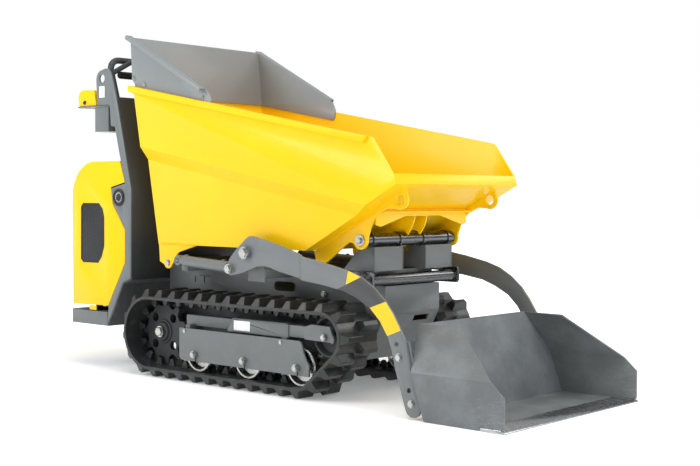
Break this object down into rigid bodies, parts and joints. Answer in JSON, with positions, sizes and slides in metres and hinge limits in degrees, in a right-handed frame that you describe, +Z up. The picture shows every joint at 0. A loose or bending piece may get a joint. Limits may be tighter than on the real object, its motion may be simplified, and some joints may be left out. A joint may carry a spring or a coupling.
{
  "type": "power wheelbarrow",
  "caption": "Tracked power barrow with a forward-tipping skip, a raised skip back, a self-loading front shovel on swing arms, a rear engine under a hood and walk-behind controls.",
  "frame": {"origin": "on the ground under the middle of the machine's length and width", "axes": "+X forward towards the shovel, +Y to the machine's left, +Z up"},
  "size_m": [2.147, 0.786, 1.2821],
  "materials": {
    "yellow_paint": "gloss yellow paint on sheet steel",
    "grey_paint": "satin mid-grey paint on plate steel",
    "dark_paint": "satin dark grey paint",
    "bright_steel": "bare steel, ground or polished",
    "zinc_plate": "zinc-plated steel",
    "track_rubber": "matt moulded rubber",
    "cast_iron": "dark painted casting",
    "black_plastic": "black grips and knobs"
  },
  "bodies": {
    "chassis": {"chassis_tub": "grey_paint", "hinge_post_left": "grey_paint", "hinge_post_right": "grey_paint", "rear_bumper": "grey_paint", "console_box": "grey_paint", "handle_bar": "grey_paint", "hinge_tube": "bright_steel", "cross_tube": "bright_steel", "hinge_pin": "zinc_plate", "firewall": "dark_paint", "exhaust": "dark_paint", "hydraulic_tank": "dark_paint", "console_cover": "yellow_paint", "engine_block": "cast_iron", "hydraulic_pump": "cast_iron", "track_belt_left": "track_rubber", "track_frame_left": "grey_paint", "idler_fork_left": "grey_paint", "roller_guard_left": "grey_paint", "rear_plate_left": "grey_paint", "loader_pivot_left": "grey_paint", "drive_motor_left": "dark_paint", "track_belt_right": "track_rubber", "track_frame_right": "grey_paint", "idler_fork_right": "grey_paint", "roller_guard_right": "grey_paint", "rear_plate_right": "grey_paint", "loader_pivot_right": "grey_paint", "drive_motor_right": "dark_paint"},
    "skip": {"skip_body": "yellow_paint", "skip_extension": "grey_paint"},
    "loader": {"loader_arm_left": "grey_paint", "loader_arm_right": "grey_paint", "shovel": "grey_paint", "cutting_edge": "bright_steel"},
    "tip_barrel": {"tip_barrel": "grey_paint"},
    "tip_rod": {"tip_rod": "bright_steel"},
    "hood": {"engine_hood": "yellow_paint", "hood_grille_left": "dark_paint", "hood_grille_right": "dark_paint"},
    "skip_lever": {"skip_lever": "black_plastic"},
    "loader_lever": {"loader_lever": "black_plastic"},
    "throttle_lever": {"throttle_lever": "black_plastic"},
    "lift_barrel_left": {"lift_barrel_left": "grey_paint"},
    "lift_rod_left": {"lift_rod_left": "bright_steel"},
    "sprocket_left": {"sprocket_left": "cast_iron"},
    "idler_left": {"idler_left": "cast_iron"},
    "drive_lever_left": {"drive_lever_left": "black_plastic"},
    "roller_left_rear": {"roller_left_rear": "zinc_plate"},
    "roller_left_middle": {"roller_left_middle": "zinc_plate"},
    "roller_left_front": {"roller_left_front": "zinc_plate"},
    "lift_barrel_right": {"lift_barrel_right": "grey_paint"},
    "lift_rod_right": {"lift_rod_right": "bright_steel"},
    "sprocket_right": {"sprocket_right": "cast_iron"},
    "idler_right": {"idler_right": "cast_iron"},
    "drive_lever_right": {"drive_lever_right": "black_plastic"},
    "roller_right_rear": {"roller_right_rear": "zinc_plate"},
    "roller_right_middle": {"roller_right_middle": "zinc_plate"},
    "roller_right_front": {"roller_right_front": "zinc_plate"}
  },
  "joints": [
    {"name": "skip_tip", "type": "hinge", "parent": "chassis", "child": "skip", "pos_m": [0.4025, 0, 0.534], "axis": [0, 1, 0], "range_deg": [0, 80]},
    {"name": "loader_lift", "type": "hinge", "parent": "chassis", "child": "loader", "pos_m": [-0.019, 0, 0.482], "axis": [0, -1, 0], "range_deg": [0, 130]},
    {"name": "tip_barrel_swing", "type": "hinge", "parent": "chassis", "child": "tip_barrel", "pos_m": [0.3, 0, 0.165], "axis": [0, 1, 0], "range_deg": [0, 17.02]},
    {"name": "tip_rod_slide", "type": "slide", "parent": "tip_barrel", "child": "tip_rod", "axis": [-0.2847, 0, 0.9586], "range_m": [0, 0.2315]},
    {"name": "lift_barrel_left_swing", "type": "hinge", "parent": "chassis", "child": "lift_barrel_left", "pos_m": [-0.4, 0.3315, 0.44], "axis": [0, -1, 0], "range_deg": [0, 5.25]},
    {"name": "lift_rod_left_slide", "type": "slide", "parent": "lift_barrel_left", "child": "lift_rod_left", "axis": [0.9986, 0, -0.0531], "range_m": [0, 0.1763]},
    {"name": "sprocket_left_spin", "type": "hinge", "parent": "chassis", "child": "sprocket_left", "pos_m": [-0.558, 0.265, 0.163], "axis": [0, 1, 0], "continuous": true},
    {"name": "roller_left_rear_spin", "type": "hinge", "parent": "chassis", "child": "roller_left_rear", "pos_m": [-0.3, 0.265, 0.1048], "axis": [0, 1, 0], "continuous": true},
    {"name": "roller_left_middle_spin", "type": "hinge", "parent": "chassis", "child": "roller_left_middle", "pos_m": [-0.045, 0.265, 0.1048], "axis": [0, 1, 0], "continuous": true},
    {"name": "roller_left_front_spin", "type": "hinge", "parent": "chassis", "child": "roller_left_front", "pos_m": [0.21, 0.265, 0.1048], "axis": [0, 1, 0], "continuous": true},
    {"name": "idler_left_spin", "type": "hinge", "parent": "chassis", "child": "idler_left", "pos_m": [0.325, 0.265, 0.215], "axis": [0, 1, 0], "continuous": true},
    {"name": "drive_lever_left_push", "type": "hinge", "parent": "chassis", "child": "drive_lever_left", "pos_m": [-0.832, 0.19, 1.045], "axis": [0, 1, 0], "range_deg": [-15, 15], "stiffness_Nm_per_rad": 3},
    {"name": "lift_barrel_right_swing", "type": "hinge", "parent": "chassis", "child": "lift_barrel_right", "pos_m": [-0.4, -0.3315, 0.44], "axis": [0, -1, 0], "range_deg": [0, 5.25]},
    {"name": "lift_rod_right_slide", "type": "slide", "parent": "lift_barrel_right", "child": "lift_rod_right", "axis": [0.9986, 0, -0.0531], "range_m": [0, 0.1763]},
    {"name": "sprocket_right_spin", "type": "hinge", "parent": "chassis", "child": "sprocket_right", "pos_m": [-0.558, -0.265, 0.163], "axis": [0, 1, 0], "continuous": true},
    {"name": "roller_right_rear_spin", "type": "hinge", "parent": "chassis", "child": "roller_right_rear", "pos_m": [-0.3, -0.265, 0.1048], "axis": [0, 1, 0], "continuous": true},
    {"name": "roller_right_middle_spin", "type": "hinge", "parent": "chassis", "child": "roller_right_middle", "pos_m": [-0.045, -0.265, 0.1048], "axis": [0, 1, 0], "continuous": true},
    {"name": "roller_right_front_spin", "type": "hinge", "parent": "chassis", "child": "roller_right_front", "pos_m": [0.21, -0.265, 0.1048], "axis": [0, 1, 0], "continuous": true},
    {"name": "idler_right_spin", "type": "hinge", "parent": "chassis", "child": "idler_right", "pos_m": [0.325, -0.265, 0.215], "axis": [0, 1, 0], "continuous": true},
    {"name": "drive_lever_right_push", "type": "hinge", "parent": "chassis", "child": "drive_lever_right", "pos_m": [-0.832, -0.19, 1.045], "axis": [0, 1, 0], "range_deg": [-15, 15], "stiffness_Nm_per_rad": 3},
    {"name": "hood_open", "type": "hinge", "parent": "chassis", "child": "hood", "pos_m": [-1.04, 0, 0.24], "axis": [0, -1, 0], "range_deg": [0, 75]},
    {"name": "skip_lever_push", "type": "hinge", "parent": "chassis", "child": "skip_lever", "pos_m": [-0.862, -0.06, 1.045], "axis": [0, 1, 0], "range_deg": [-20, 20], "stiffness_Nm_per_rad": 1.5},
    {"name": "loader_lever_push", "type": "hinge", "parent": "chassis", "child": "loader_lever", "pos_m": [-0.862, 0.01, 1.045], "axis": [0, 1, 0], "range_deg": [-20, 20], "stiffness_Nm_per_rad": 1.5},
    {"name": "throttle_lever_set", "type": "hinge", "parent": "chassis", "child": "throttle_lever", "pos_m": [-0.862, 0.09, 1.045], "axis": [0, 1, 0], "range_deg": [0, 40]}
  ],
  "couplings": [
    {"joint": "tip_barrel_swing", "follows": "skip_tip", "ratio": 0.21212},
    {"joint": "tip_rod_slide", "follows": "skip_tip", "m_per_rad": 0.16548},
    {"joint": "lift_barrel_left_swing", "follows": "loader_lift", "ratio": 0.040033},
    {"joint": "lift_rod_left_slide", "follows": "loader_lift", "m_per_rad": 0.077467},
    {"joint": "roller_left_rear_spin", "follows": "sprocket_left_spin", "ratio": 1.8069},
    {"joint": "roller_left_middle_spin", "follows": "sprocket_left_spin", "ratio": 1.8069},
    {"joint": "roller_left_front_spin", "follows": "sprocket_left_spin", "ratio": 1.8069},
    {"joint": "idler_left_spin", "follows": "sprocket_left_spin", "ratio": 1.6582},
    {"joint": "lift_barrel_right_swing", "follows": "loader_lift", "ratio": 0.040033},
    {"joint": "lift_rod_right_slide", "follows": "loader_lift", "m_per_rad": 0.077467},
    {"joint": "roller_right_rear_spin", "follows": "sprocket_right_spin", "ratio": 1.8069},
    {"joint": "roller_right_middle_spin", "follows": "sprocket_right_spin", "ratio": 1.8069},
    {"joint": "roller_right_front_spin", "follows": "sprocket_right_spin", "ratio": 1.8069},
    {"joint": "idler_right_spin", "follows": "sprocket_right_spin", "ratio": 1.6582}
  ]
}
